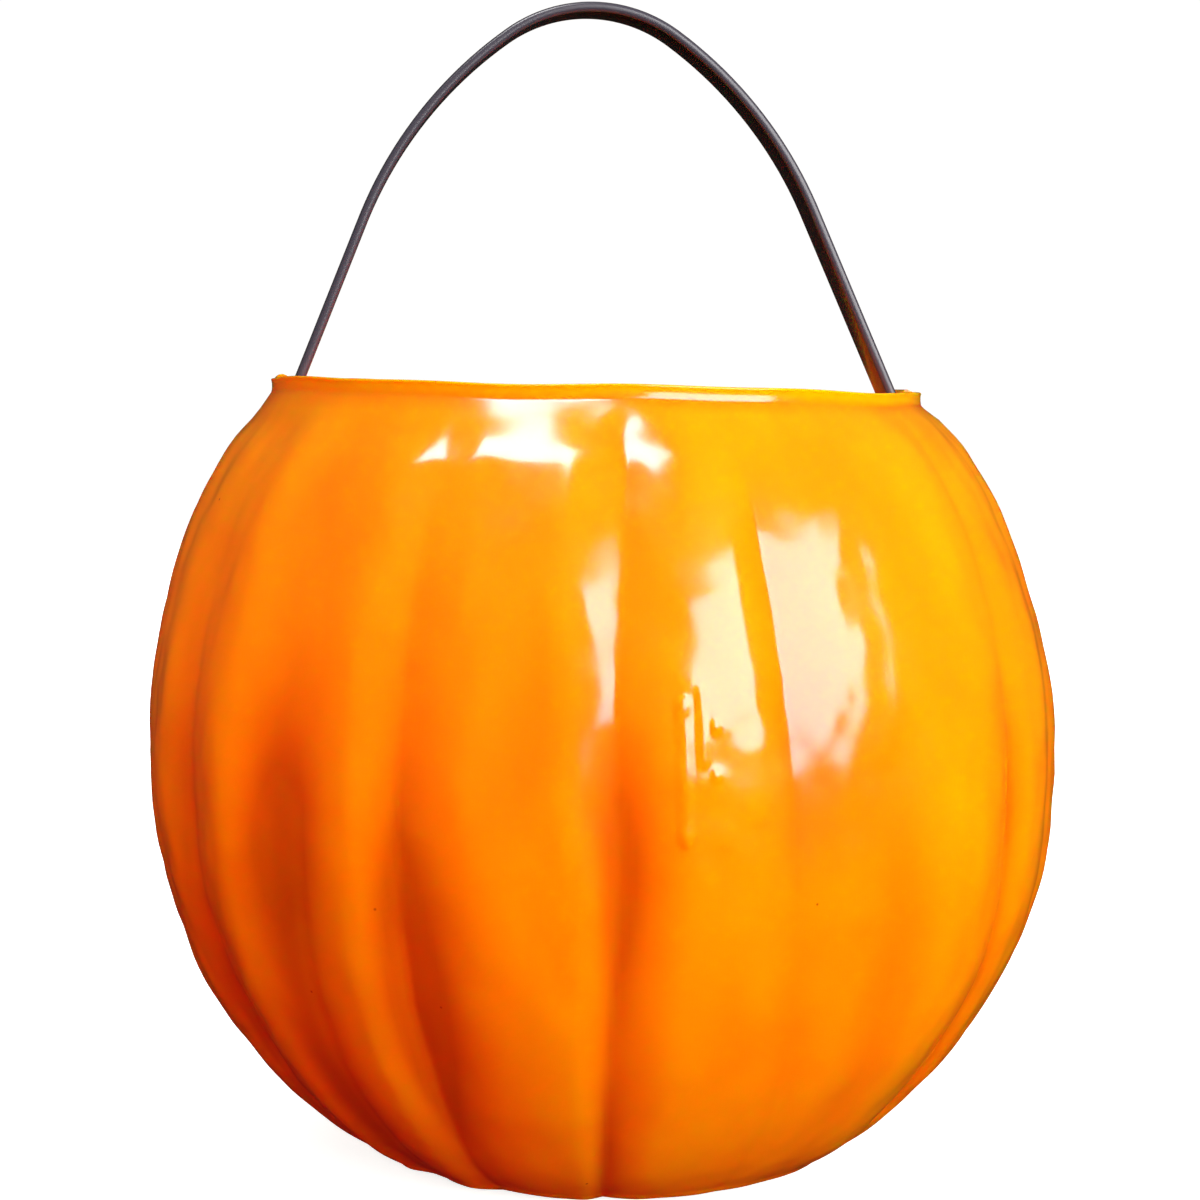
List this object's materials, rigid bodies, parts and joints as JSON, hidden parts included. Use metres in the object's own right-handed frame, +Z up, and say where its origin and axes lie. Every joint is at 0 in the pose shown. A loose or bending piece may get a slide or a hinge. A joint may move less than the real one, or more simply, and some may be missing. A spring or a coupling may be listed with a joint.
{
  "type": "candy pail",
  "caption": "Round lobed pumpkin-shaped pail, open at the top behind a narrow rolled lip, with a flat strap handle that swings on snap buttons inside the rim, for carrying sweets.",
  "frame": {"origin": "centre of the pail at the level of the ring that it stands on", "axes": "+Z up through the middle of the mouth, X along the handle's hinge axis from ear to ear, -Y towards the side that the picture shows"},
  "size_m": [0.2186, 0.2186, 0.2753],
  "materials": {
    "orange_shell": "glossy blow-moulded polyethylene, orange through and through",
    "black_strap": "satin moulded polyethylene, charcoal black"
  },
  "bodies": {
    "pail": {"pail_body": "orange_shell"},
    "handle": {"handle_strap": "black_strap"}
  },
  "joints": [
    {"name": "handle_swing", "type": "hinge", "parent": "pail", "child": "handle", "pos_m": [0, 0, 0.1735], "axis": [1, 0, 0], "range_deg": [-68, 68]}
  ]
}
